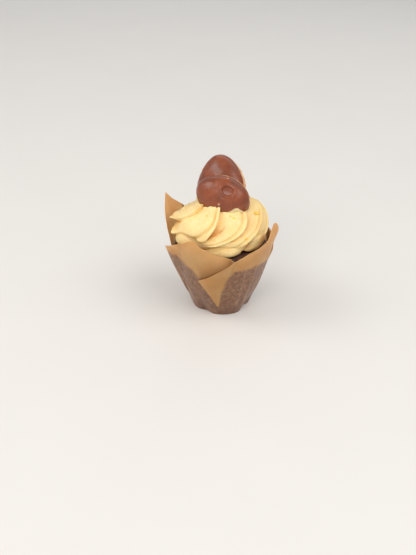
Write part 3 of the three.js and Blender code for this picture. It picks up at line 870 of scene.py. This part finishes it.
zest = {
    "name": "zest_flakes",
    "front": [
        (333.8, 91.5, 4.2), (6.1, 87.8, 2.0), (291.8, 92.4, 2.3), (287.2, 94.2, 1.7),
        (302.8, 77.4, 2.3), (333.6, 82.9, 2.1), (248.5, 93.5, 1.6), (331.3, 67.6, 1.7),
        (319.3, 66.5, 1.6),
    ],
    "moreCount": 13,
    "moreFrom": 15,
    "moreTo": 225,
    "heights": (67, 92),
    "lengths": (1.3, 3.0),
    "flatness": 0.42,
    "width": 0.62,
}


def zestSpots():
    count = zest["moreCount"]
    share = [[(0.5 + i * step) % 1 for i in range(count)] for step in (0.618, 0.382, 0.27)]
    more = [
        (lerp(zest["moreFrom"], zest["moreTo"], a), lerp(*zest["heights"], b), lerp(*zest["lengths"], c))
        for a, b, c in zip(*share)
    ]
    return zest["front"] + more


def zestTree():
    bench, size = newTree("zestFlakes", {"Flatness": zest["flatness"], "Width": zest["width"], "Seed": 5})
    flake = bench.node("GeometryNodeMeshIcoSphere", {}, {"Radius": 0.5, "Subdivisions": 3})
    place = bench.node("GeometryNodeInputPosition")
    flake = bench.moved(flake, Offset=place * (place.noise(1.6, 3) - 0.5) * 0.9)
    length = bench.carried("length")
    facing = {"Vector": bench.carried("facing", "FLOAT_VECTOR")}
    upright = bench.node("FunctionNodeAlignRotationToVector", {"axis": "Z"}, facing)
    spin = bench.join(0.0, 0.0, bench.random(0.0, 2 * math.pi, size["Seed"]))
    turn = bench.node("FunctionNodeRotateRotation", {"rotation_space": "LOCAL"}, {0: upright, 1: spin})
    flakes = bench.node("GeometryNodeInstanceOnPoints", {}, {
        "Points": bench.node("NodeGroupInput"),
        "Instance": flake,
        "Rotation": turn,
        "Scale": bench.join(length, length * size["Width"], length * size["Flatness"]),
    })
    return bench, flakes


def makeZest(surface, material):
    tree = BVHTree.FromObject(surface, bpy.context.evaluated_depsgraph_get())
    spots, facings, lengths = [], [], []
    for azimuth, height, length in zestSpots():
        angle = math.radians(azimuth)
        outwards = Vector((math.cos(angle), math.sin(angle), 0))
        start = Vector((*swirl["centre"], height)) + outwards * 70
        spot, facing, _, _ = tree.ray_cast(start * mm, -outwards)
        if spot is None:
            continue
        spots.append(spot + facing * 0.1 * length * mm)
        facings.append(facing)
        lengths.append(length * mm)
    points = bpy.data.meshes.new("zestPoints")
    points.from_pydata(spots, [], [])
    points.attributes.new("facing", "FLOAT_VECTOR", "POINT").data.foreach_set("vector", np.ravel(facings))
    points.attributes.new("length", "FLOAT", "POINT").data.foreach_set("value", lengths)
    return growPiece(zest["name"], *zestTree(), material, points)


def makeButtercream():
    cream = buttercreamFinish()
    made = [growPiece(shape["name"], *pipedTree(shape), cream) for shape in (swirl, firstTurn)]
    made.append(makeZest(made[0], zestFinish()))
    for piece in made:
        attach(piece, "root")
        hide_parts("buttercream")
    print("buttercream:", faceCounts(made), "faces")


# Parchment case

parchment = {
    "name": "parchment_tulip_case",
    "baseRadius": 25,
    "flare": 0.4,
    "flareEase": 0.0015,
    "lean": -0.03,
    "thickness": 0.3,
    "columns": 540,
    "rows": 54,
    "rowSpacing": 0.9,
    "baseRows": 14,
    "baseReach": (0.1, 0.92),  # shares of the base's radius
    # azimuth, width and depth of the dents at the base
    "baseDents": [(238, 13, 0.12), (333, 17, 0.19)],
    "dentHeight": 13,
    # where a panel goes in under a flap: from and full are degrees past the fold
    "tuck": {"depth": 3, "from": 1, "full": 7, "reach": 22, "height": 9},
    "spread": {"azimuth": 341, "width": 20, "distance": 2.6, "from": 58, "to": 80},
    "flapGrid": (56, 64),
    # shares of a flap: up from its foot, and across to a little past the fold
    "flapUp": (0.03, 1),
    "flapAcross": (0, 1.03),
    "flapGap": 0.03,
    "flapStand": 0.15,
    "flapSunk": 0.06,
    "soakLimit": 12,
    "waves": (0.32, 13),  # height and size
    "wrinkles": (0.16, 4.5),
    "sharpAngle": 50,
    # painted shade above the front flap's top edge: its reach, span of azimuths and strength
    "stain": {"reach": 7, "from": (238, 247), "to": (281, 286), "strength": 0.9},
    # soft folds pressed into the sheet: ends as azimuth and height, width and height of the ridge
    "folds": [
        ((206, 58), (222, 8), 1.6, 0.35), ((300, 58), (296, 6), 2.2, 0.25),
        ((318, 62), (306, 5), 1.8, 0.4), ((262, 4), (246, 16), 1.4, -0.3),
        ((342, 66), (336, 8), 2.0, 0.3), ((66, 78), (56, 6), 1.8, 0.35),
        ((164, 90), (170, 8), 1.8, 0.4), ((100, 60), (104, 6), 2.0, -0.3),
    ],
}
panels = [
    {
        "name": "front_right",
        "corner": (242, 38.5),
        "foot": (265, 9.5),
        "fold": (287, 60),
        "lift": 1.5,
        "tucked": 1,
        "edge": [(242, 38.5), (254, 43.4), (266, 49.8), (277, 55.4), (285.5, 61), (300, 66.6),
                 (315, 70.3), (321, 72.4), (324, 75.5), (325, 86), (327, 89.5), (331, 88.5),
                 (337, 83), (343, 76.5), (350, 69), (358, 63), (372, 57)],
        "soak": [(265, 9.5), (271, 30), (279, 46), (286, 51.5), (330, 51), (352, 47)],
    },
    {
        "name": "front_left",
        "corner": (194, 61),
        "foot": (207, 14),
        "fold": (222, 66),
        "lift": 5,
        "tucked": 1,
        "edge": [(194, 58), (199, 59.8), (207, 62.9), (214, 66), (228, 71.8), (239, 77.4), (242.5, 77.6),
                 (247.5, 73), (255, 70.7), (263, 68.4), (271, 65.4), (278, 62.8), (282.6, 61.6),
                 (284, 58), (288, 50)],
        "soak": [(160, 45), (184, 50), (200, 55), (212, 55), (222, 52), (235, 46), (242, 41), (252, 38),
                 (264.9, 36)],
        "flapSoaked": True,
    },
    {
        "name": "back_left",
        "corner": (108, 50),
        "foot": (126, 12),
        "fold": (138, 66),
        "lift": 2.5,
        "tucked": 1,
        "edge": [(108, 50), (136, 76), (152, 86), (164, 95.5), (174, 84), (188, 64), (202, 54)],
        "soak": [(126, 12), (131, 36), (137, 49), (144, 53), (180, 52), (193.9, 50)],
    },
    {
        "name": "back_right",
        "corner": (-6, 54),
        "foot": (6, 26),
        "fold": (26, 61),
        "lift": 1,
        "tucked": 0.15,
        "edge": [(-6, 54), (8, 59.5), (19, 63.5), (28, 64.5), (50, 75), (66, 81), (84, 73), (118, 55)],
        "soak": [(6, 26), (14, 40), (22, 50), (30, 53), (84, 52), (108, 46), (125.9, 40)],
    },
]


def onLine(pairs, azimuth, outside=np.nan):
    xs, ys = zip(*pairs)
    return np.interp(azimuth, xs, ys, left=outside, right=outside)


def rimHeight(azimuth):
    azimuth = np.asarray(azimuth, dtype=float)
    blur = (-0.9, -0.45, 0, 0.45, 0.9)  # rounds the tips a little
    total = np.zeros_like(azimuth)
    for shift in blur:
        lines = [onLine(p["edge"], azimuth + shift + turn) for p in panels for turn in (-360, 0, 360)]
        total += np.nanmax(lines, axis=0)
    return total / len(blur)


def soakHeight(azimuth):
    azimuth = np.asarray(azimuth, dtype=float)
    lines = [onLine(p["soak"], azimuth + turn, 0) for p in panels for turn in (-360, 0, 360)]
    known = np.max(lines, axis=0)
    return np.where(known > 0, known, 50)


# How far inside the greasy part a point lies, in millimetres along the sheet.
def soakDepth(azimuth, height):
    step = 0.7
    here = soakHeight(azimuth)
    slope = np.abs(soakHeight(azimuth + step) - soakHeight(azimuth - step)) / (2 * step * 0.6)
    slope = np.where(slope > 12, 0, slope)
    limit = parchment["soakLimit"]
    return np.clip((here - height) / np.sqrt(1 + slope**2), -limit, limit)


def caseRadius(azimuth, height):
    plain = parchment["baseRadius"] + parchment["flare"] * height - parchment["flareEase"] * height**2
    dents = sum(d * bell(turnBetween(azimuth, a) / w) for a, w, d in parchment["baseDents"])
    return plain * (1 - bell(height / parchment["dentHeight"]) * dents)


def caseBend(azimuth, height):
    tuck, spread = parchment["tuck"], parchment["spread"]
    rim = rimHeight(azimuth)
    tucks = []
    for panel in panels:
        before = turnBetween(panel["fold"][0], azimuth)
        begun = smoothStep(before, tuck["from"], tuck["full"])
        tucks.append(panel["tucked"] * begun * (1 - smoothStep(before, tuck["full"], tuck["reach"])))
    inwards = tuck["depth"] * np.max(tucks, axis=0) * smoothStep(height, rim - tuck["height"], rim)
    near = bell(turnBetween(azimuth, spread["azimuth"]) / spread["width"])
    return spread["distance"] * near * smoothStep(height, spread["from"], spread["to"]) - inwards


# Waves, wrinkles and pressed folds of the sheet.
def caseRelief(azimuth, height):
    angle = np.radians(azimuth)
    reach = 25 + 0.3 * height
    flat = np.stack([reach * np.cos(angle), reach * np.sin(angle), height], axis=-1).reshape(-1, 3)
    (waveHeight, waveSize), (wrinkleHeight, wrinkleSize) = parchment["waves"], parchment["wrinkles"]
    waves = noiseAt(flat * (1, 1, 0.6), waveSize, 2, 4.0)
    ridged = 0.5 - np.abs(noiseAt(flat, wrinkleSize, 3, 9.0))
    relief = (waveHeight * waves + wrinkleHeight * ridged).reshape(np.shape(azimuth))
    return (relief + caseCreases(azimuth, height)[0]) * smoothStep(height, 0, 4)


# Height of the pressed folds, and how much of a pale crease line lies on their ridges, partly a painted
# highlight.
def caseCreases(azimuth, height):
    reach = 25 + 0.3 * height
    raised, line = np.zeros_like(azimuth), np.zeros_like(azimuth)
    for (a0, h0), (a1, h1), width, depth in parchment["folds"]:
        share = np.clip((height - h0) / (h1 - h0), 0, 1)
        off = turnBetween(azimuth, lerp(a0, a1, share)) * np.pi / 180 * reach
        ends = smoothStep(share, 0, 0.2) * (1 - smoothStep(share, 0.85, 1))
        raised = raised + depth * ends / (1 + (off / width) ** 2)
        line = np.maximum(line, ends * bell(off / 0.8) * (depth > 0))
    return raised, line


# Points round the axis of the case, which leans a little.
def leaning(azimuth, height, radius):
    angle = np.radians(azimuth)
    x = parchment["lean"] * height + radius * np.cos(angle)
    return np.stack([x, radius * np.sin(angle), height], axis=-1)


def casePoints(azimuth, height, outward):
    return leaning(azimuth, height, caseRadius(azimuth, height) + outward)


def caseWall():
    thick = parchment["thickness"]
    azimuths = np.arange(parchment["columns"]) * 360 / parchment["columns"]
    rim = rimHeight(azimuths)
    shares = np.linspace(0, 1, parchment["rows"]) ** parchment["rowSpacing"]
    outside, inside = [], []
    values = {"soak": [], "crease": [], "stain": []}
    for share in shares:
        height = share * rim
        offset = caseBend(azimuths, height) + caseRelief(azimuths, height)
        outside.append(casePoints(azimuths, height, offset))
        inner = lerp(thick, rim, share)
        inside.append(casePoints(azimuths, inner, offset - thick))
        values["soak"].append(soakDepth(azimuths, height))
        values["crease"].append(caseCreases(azimuths, height)[1])
        values["stain"].append(flapShadeAt(azimuths, height))
    baseShares = np.linspace(*parchment["baseReach"], parchment["baseRows"])
    base = [outside[0] * (s, s, 1) for s in baseShares]
    floor = [tip(0.0)] + base
    vertices, faces = stackRings(floor + outside + inside[::-1] + [tip(thick)])
    for name, wall in values.items():
        under = float(parchment["soakLimit"]) if name == "soak" else 0.0
        below = [np.full(len(ring), under) for ring in floor]
        values[name] = np.concatenate(below + wall + wall[::-1] + [np.array([under])])
    return vertices, faces, values


# Golden painted shade on the sheet just above the front flap's top edge, which runs in under the flap, and
# at its free tip.
def flapShadeAt(azimuth, height):
    stain = parchment["stain"]
    above = height - onLine(panels[0]["edge"], azimuth, -99)
    near = bell(np.maximum(above, 0) / stain["reach"]) * (above > -2)
    inSpan = smoothStep(azimuth, *stain["from"]) * (1 - smoothStep(azimuth, *stain["to"]))
    return stain["strength"] * near * inSpan


def flapSheet(panel):
    rows, columns = parchment["flapGrid"]
    thick = parchment["thickness"]
    upwards, across = parchment["flapUp"], parchment["flapAcross"]
    v, u = np.meshgrid(np.linspace(*upwards, rows), np.linspace(*across, columns), indexing="ij")
    corner, foot, fold = panel["corner"], panel["foot"], panel["fold"]
    topAzimuth = lerp(corner[0], fold[0], u)
    topHeight = np.interp(topAzimuth, *zip(*panel["edge"]))
    azimuth = lerp(foot[0], topAzimuth, v)
    height = lerp(foot[1], topHeight, v)
    # it comes away from the wall at the fold, where its outer side runs into the wall's
    sunk = (thick + parchment["flapSunk"]) * smoothStep(u, 0.88, across[1])
    lift = parchment["flapStand"] + panel["lift"] * v
    stand = parchment["flapGap"] + lift * (1 - smoothStep(u, 0, 0.93)) - sunk
    bend = caseBend(azimuth, height) * smoothStep(u, 0.92, 0.99)
    offset = stand + bend + caseRelief(azimuth, height)
    outer = casePoints(azimuth, height, offset + thick).reshape(-1, 3)
    inner = casePoints(azimuth, height, offset).reshape(-1, 3)
    soak = soakDepth(azimuth, height)
    if not panel.get("flapSoaked"):
        soak = lerp(-parchment["soakLimit"], soak, smoothStep(turnBetween(azimuth, foot[0]), 0, 3))
    values = {"soak": soak, "crease": caseCreases(azimuth, height)[1], "stain": np.zeros_like(azimuth)}
    return np.concatenate([outer, inner]), sheetFaces(rows, columns), values


def makeCase():
    finish = parchmentFinish()
    vertices, faces, values = caseWall()
    made = [meshPiece(parchment["name"], vertices, faces, finish, values, parchment["sharpAngle"])]
    for panel in panels:
        vertices, faces, found = flapSheet(panel)
        # both sides of a flap have the same values
        values = {label: np.tile(numbers.reshape(-1), 2) for label, numbers in found.items()}
        name = f"parchment_flap_{panel['name']}"
        made.append(meshPiece(name, vertices, faces, finish, values, parchment["sharpAngle"]))
    for piece in made:
        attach(piece, "root")
        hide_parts("parchment_case")
    print("case:", faceCounts(made), "faces")


# Sponge

cake = {
    "name": "chocolate_sponge",
    "columns": 320,
    "inset": 0.75,
    "contactHeight": 50,
    "shoulder": [(39.4, 52.5), (38.9, 55.2), (37.4, 57.6), (34.6, 59.2), (30, 60)],
    "rowsBetween": 8,
    "contactRows": 22,
    "crumb": 0.75,
    "roughAbove": (49.5, 53),
    "upwardsAbove": (55, 59),
    "tallest": 60.2,
    "crumbCount": 900,
    "crumbArea": 6900,  # square millimetres of the top, which the crumbs lie on
    "crumbsAbove": 51,
    "crumbSizes": (0.35, 1.1),
}


def spongeRings():
    azimuths = np.arange(cake["columns"]) * 360 / cake["columns"]
    contact = np.linspace(cake["inset"], cake["contactHeight"], cake["contactRows"])
    rings = [casePoints(azimuths, np.full_like(azimuths, h), -cake["inset"]) for h in contact]
    for radius, height in cake["shoulder"]:
        last, ring = rings[-1], leaning(azimuths, np.full_like(azimuths, height), radius)
        rings += [lerp(last, ring, t) for t in np.linspace(0, 1, cake["rowsBetween"] + 1)[1:]]
    return rings


def crumbTree():
    smallest, largest = cake["crumbSizes"]
    bench, size = newTree("spongeCrumbs", {
        "Density": cake["crumbCount"] / (cake["crumbArea"] * mm * mm),
        "Smallest": smallest * mm,
        "Largest": largest * mm,
        "Seed": 11,
    })
    _, _, level = bench.split(bench.node("GeometryNodeInputPosition"))
    spots = bench.node("GeometryNodeDistributePointsOnFaces", {"distribute_method": "RANDOM"}, {
        "Mesh": bench.node("NodeGroupInput"),
        "Selection": level.of("GREATER_THAN", cake["crumbsAbove"] * mm),
        "Density": size["Density"],
        "Seed": size["Seed"],
    })
    rotation = Value(bench, spots.socket.node.outputs["Rotation"])
    crumb = bench.node("GeometryNodeMeshIcoSphere", {}, {"Radius": 0.5, "Subdivisions": 1})
    place = bench.node("GeometryNodeInputPosition")
    crumb = bench.moved(crumb, Offset=place * (place.noise(2.4, 2) - 0.5) * 1.6)
    scale = bench.random(size["Smallest"], size["Largest"], size["Seed"] + 1)
    crumbs = bench.node("GeometryNodeInstanceOnPoints", {}, {
        "Points": spots,
        "Instance": crumb,
        "Rotation": rotation,
        "Scale": bench.join(scale, scale * 0.8, scale * 0.7),
    })
    return bench, crumbs


def makeSponge():
    finish = spongeFinish()
    rings = spongeRings()
    vertices, faces = stackRings([tip(cake["inset"])] + rings + [tip(rings[-1][0][2])])
    shown = smoothStep(vertices[:, 2], *cake["roughAbove"])
    rough = noiseAt(vertices, 3.4, 4) + 0.5 * noiseAt(vertices, 1.3, 2, 5.0)
    outwards = directions(vertices * (1, 1, 0))
    outwards[:, 2] = smoothStep(vertices[:, 2], *cake["upwardsAbove"])
    vertices = vertices + outwards * (rough * shown * cake["crumb"])[:, None]
    vertices[:, 2] = np.minimum(vertices[:, 2], cake["tallest"])
    sponge = meshPiece(cake["name"], vertices, faces, finish)
    crumbs = growPiece("sponge_crumbs", *crumbTree(), finish, sponge.data.copy())
    made = (sponge, crumbs)
    for piece in made:
        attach(piece, "root")
        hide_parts("sponge")
    print("sponge and crumbs:", faceCounts(made), "faces")


# Egg halves


# A ring of an egg in its own directions: along, across, out of the dome
def eggRing(egg, height, scale, outward):
    columns = eggShape["columns"]
    turn = np.arange(columns) * 2 * np.pi / columns
    c, s = np.cos(turn), np.sin(turn)
    x = (egg["halfLength"] * scale + outward) * c
    y = (egg["halfWidth"] * scale + outward) * s * (1 - egg["taper"] * c)
    below = 1 - egg["fillingTilt"] * scale * c if height < -0.5 else 1
    return np.stack([x, y, np.full(columns, float(height)) * below], axis=-1)


def domeRings(egg, outward, rows):
    power = 2 / eggShape["fullness"]
    rings = []
    for i in range(rows):
        angle = i / rows * math.pi / 2
        scale = math.cos(angle) ** power
        height = (egg["dome"]["height"] + outward) * math.sin(angle) ** power
        rings.append(eggRing(egg, height, scale, outward * min(1, scale * 1.3)))
    return rings + [tip(egg["dome"]["height"] + outward)]


def eggPlace(egg, points):
    axes = np.array([list(axis) for axis in eggAxes(egg)])
    return points @ axes + np.array(egg["centre"])


# Height of the details above the plain dome, and how much of it is painted pale on the chips, as a
# highlight.
def domeDetails(egg, points):
    x, y, z = points.T
    rise = eggShape["unevenness"] * noiseAt(points, 9, 2, 3.0)
    rise += eggShape["grain"] * noiseAt(points, 1.1, 2, 8.0)
    glintOnChips = np.zeros(len(points))
    for cx, cy, size, height in egg["chips"]:
        middle = points[np.argmin(np.hypot(x - cx, y - cy) + 99 * (z <= 0))]
        away = np.linalg.norm(points - middle, axis=1) / size
        away = away + 0.25 * noiseAt(points, 0.8, 1, cx)
        bump = 1 - smoothStep(away, *eggShape["chipEdge"])
        rise += height * bump
        glintOnChips = np.maximum(glintOnChips, bump * min(1, height * 1.6))
    if egg["dimple"]:
        d = egg["dimple"]
        # how far out, in shares of the dent's size; its floor is flat, its rim a soft ring
        out = np.hypot((x - d["at"][0]) / d["halfLength"], (y - d["at"][1]) / d["halfWidth"])
        rise -= d["depth"] * (1 - smoothStep(out, *eggShape["dimpleWall"]))
        rise += d["ring"] * bell((out - eggShape["ringAt"]) / eggShape["ringWidth"])
    return rise, glintOnChips


def makeShell(egg, finish):
    rows, wall = eggShape["domeRows"], eggShape["wall"]
    outer = domeRings(egg, 0, rows)
    inner = domeRings(egg, -wall, rows // 3)
    # a rounded edge between the inner and the outer dome
    edge = [
        eggRing(egg, -eggShape["edgeRounding"] * math.sin(math.pi * t), 1, -wall * (1 - t))
        for t in np.linspace(0, 1, eggShape["edgeRows"] + 2)[1:-1]
    ]
    rings = inner[::-1] + edge + outer
    points, faces = stackRings(rings)
    start = len(points) - sum(len(ring) for ring in outer)
    shell = points[start:]
    slope = shell / (egg["halfLength"] ** 2, egg["halfWidth"] ** 2, egg["dome"]["height"] ** 2)
    slope /= np.linalg.norm(slope, axis=1, keepdims=True)
    rise, glintOnChips = domeDetails(egg, shell)
    fade = smoothStep(shell[:, 2], 0, 1.5)
    points[start:] = shell + slope * (rise * fade)[:, None]
    # chip: how much painted highlight lies on the chips
    chip = np.concatenate([np.zeros(start), glintOnChips])
    # edge: the band along the open rim, which the finish paints with shade
    values = {"chip": chip, "edge": 1 - smoothStep(points[:, 2], 0.2, 1.6)}
    name = f"chocolate_half_{egg['name']}"
    piece = meshPiece(name, eggPlace(egg, points), faces, finish, values)
    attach(piece, "root")
    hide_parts(f"egg_shell_{egg['name']}")
    return piece


def makeFilling(egg, finish):
    proud = egg["fillingProud"]
    profile = [(-proud * share, scale, out) for share, scale, out in eggShape["fillingProfile"]]
    profile.append(eggShape["fillingEnd"])
    stations = np.linspace(0, len(profile) - 1, eggShape["fillingRows"])
    heights, scales, outwards = [np.interp(stations, range(len(profile)), v) for v in zip(*profile)]
    rings = [eggRing(egg, *ring) for ring in zip(heights, scales, outwards)]
    inside = domeRings(egg, -eggShape["wall"] - eggShape["fillingGap"], 16)
    points, faces = stackRings([tip(-proud)] + rings + inside)
    shown = 1 - smoothStep(points[:, 2], -0.6, -0.1)
    rough = noiseAt(points, 1.6, 4, 2.0) + 0.8 * noiseAt(points, 6, 2, 6.0)
    outwards = directions(points - (0, 0, 2.0))
    points = points + outwards * (rough * shown * eggShape["fillingRelief"])[:, None]
    name = f"caramel_filling_{egg['name']}"
    piece = meshPiece(name, eggPlace(egg, points), faces, finish)
    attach(piece, "root")
    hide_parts(f"egg_filling_{egg['name']}")
    return piece


def makeEggs():
    chocolate, caramel = chocolateFinish(), fillingFinish()
    for egg in eggs:
        made = (makeShell(egg, chocolate), makeFilling(egg, caramel))
        print(f"egg half {egg['name']}:", faceCounts(made), "faces")


# Floor, light and camera

studio = {
    "floorSize": 3000,
    "sky": (0.95, 0.96, 1.0, 1.0),
    "skyStrength": 0.66,
    "behind": 0.55,  # share of the sky's strength that is left behind the cupcake
    # name, place and size in metres, power in watts, and colour; the aim is in metres too
    "lights": [
        ("key", (-0.5, -1.25, 0.88), (0.7, 0.45), 6, (1.0, 0.98, 0.95)),
        ("side", (-1.2, -0.05, 1.2), (0.9, 0.8), 7, (1.0, 0.97, 0.92)),
        ("fill", (0.85, -0.45, 1.35), (1.6, 1.2), 11.5, (1.0, 0.98, 0.96)),
        ("back", (0.35, 1.2, 0.95), (1.8, 0.8), 2.5, (1.0, 0.99, 0.97)),
    ],
    "aim": (0, 0, 0.06),
}
camera = {
    "place": (-12, -632.7, 378.4),  # millimetres
    "down": 29.4,
    "roll": 2.03,
    "lens": 54.1,
}


def makeStudio():
    half = studio["floorSize"] / 2
    corners = [(-half, -half, 0), (half, -half, 0), (half, half, 0), (-half, half, 0)]
    floor = meshPiece("floor", corners, [(0, 1, 2, 3)], floorFinish())

    world = bpy.data.worlds.new("softSky")
    world.use_nodes = True
    world.node_tree.nodes.clear()
    bench = Bench(world.node_tree)
    right, away, _ = bench.split(bench.node("ShaderNodeTexCoord", {}, {}, "Generated"))
    strength = (away + right * 0.4).step(0.0, 0.6).mix(1.0, studio["behind"]) * studio["skyStrength"]
    sky = bench.node("ShaderNodeBackground", {}, {"Color": studio["sky"], "Strength": strength})
    bench.node("ShaderNodeOutputWorld", {}, {"Surface": sky})
    scene.world = world

    for name, at, size, power, colour in studio["lights"]:
        lamp = bpy.data.lights.new(name, "AREA")
        lamp.shape = "RECTANGLE"
        lamp.size, lamp.size_y = size
        lamp.energy, lamp.color = power, colour
        holder = newObject(name, lamp)
        holder.location = at
        aim = Vector(studio["aim"]) - Vector(at)
        holder.rotation_euler = aim.to_track_quat("-Z", "Y").to_euler()
    scene.view_settings.view_transform = "Standard"


def makeCamera():
    down, roll = math.radians(camera["down"]), math.radians(camera["roll"])
    right = Vector((1, 0, 0))
    forward = Vector((0, math.cos(down), -math.sin(down)))
    up = right.cross(forward)
    across = right * math.cos(roll) + up * math.sin(roll)
    above = up * math.cos(roll) - right * math.sin(roll)
    lens = bpy.data.cameras.new("camera")
    lens.lens = camera["lens"]
    lens.sensor_width = 36
    lens.clip_start, lens.clip_end = 0.02, 20
    holder = newObject("camera", lens)
    turn = Matrix((across, above, -forward)).transposed().to_4x4()
    holder.matrix_world = Matrix.Translation(Vector(camera["place"]) * mm) @ turn
    scene.camera = holder


makeStudio()
makeCamera()
makeCase()
makeSponge()
makeButtercream()
makeEggs()

bpy.context.view_layer.update()
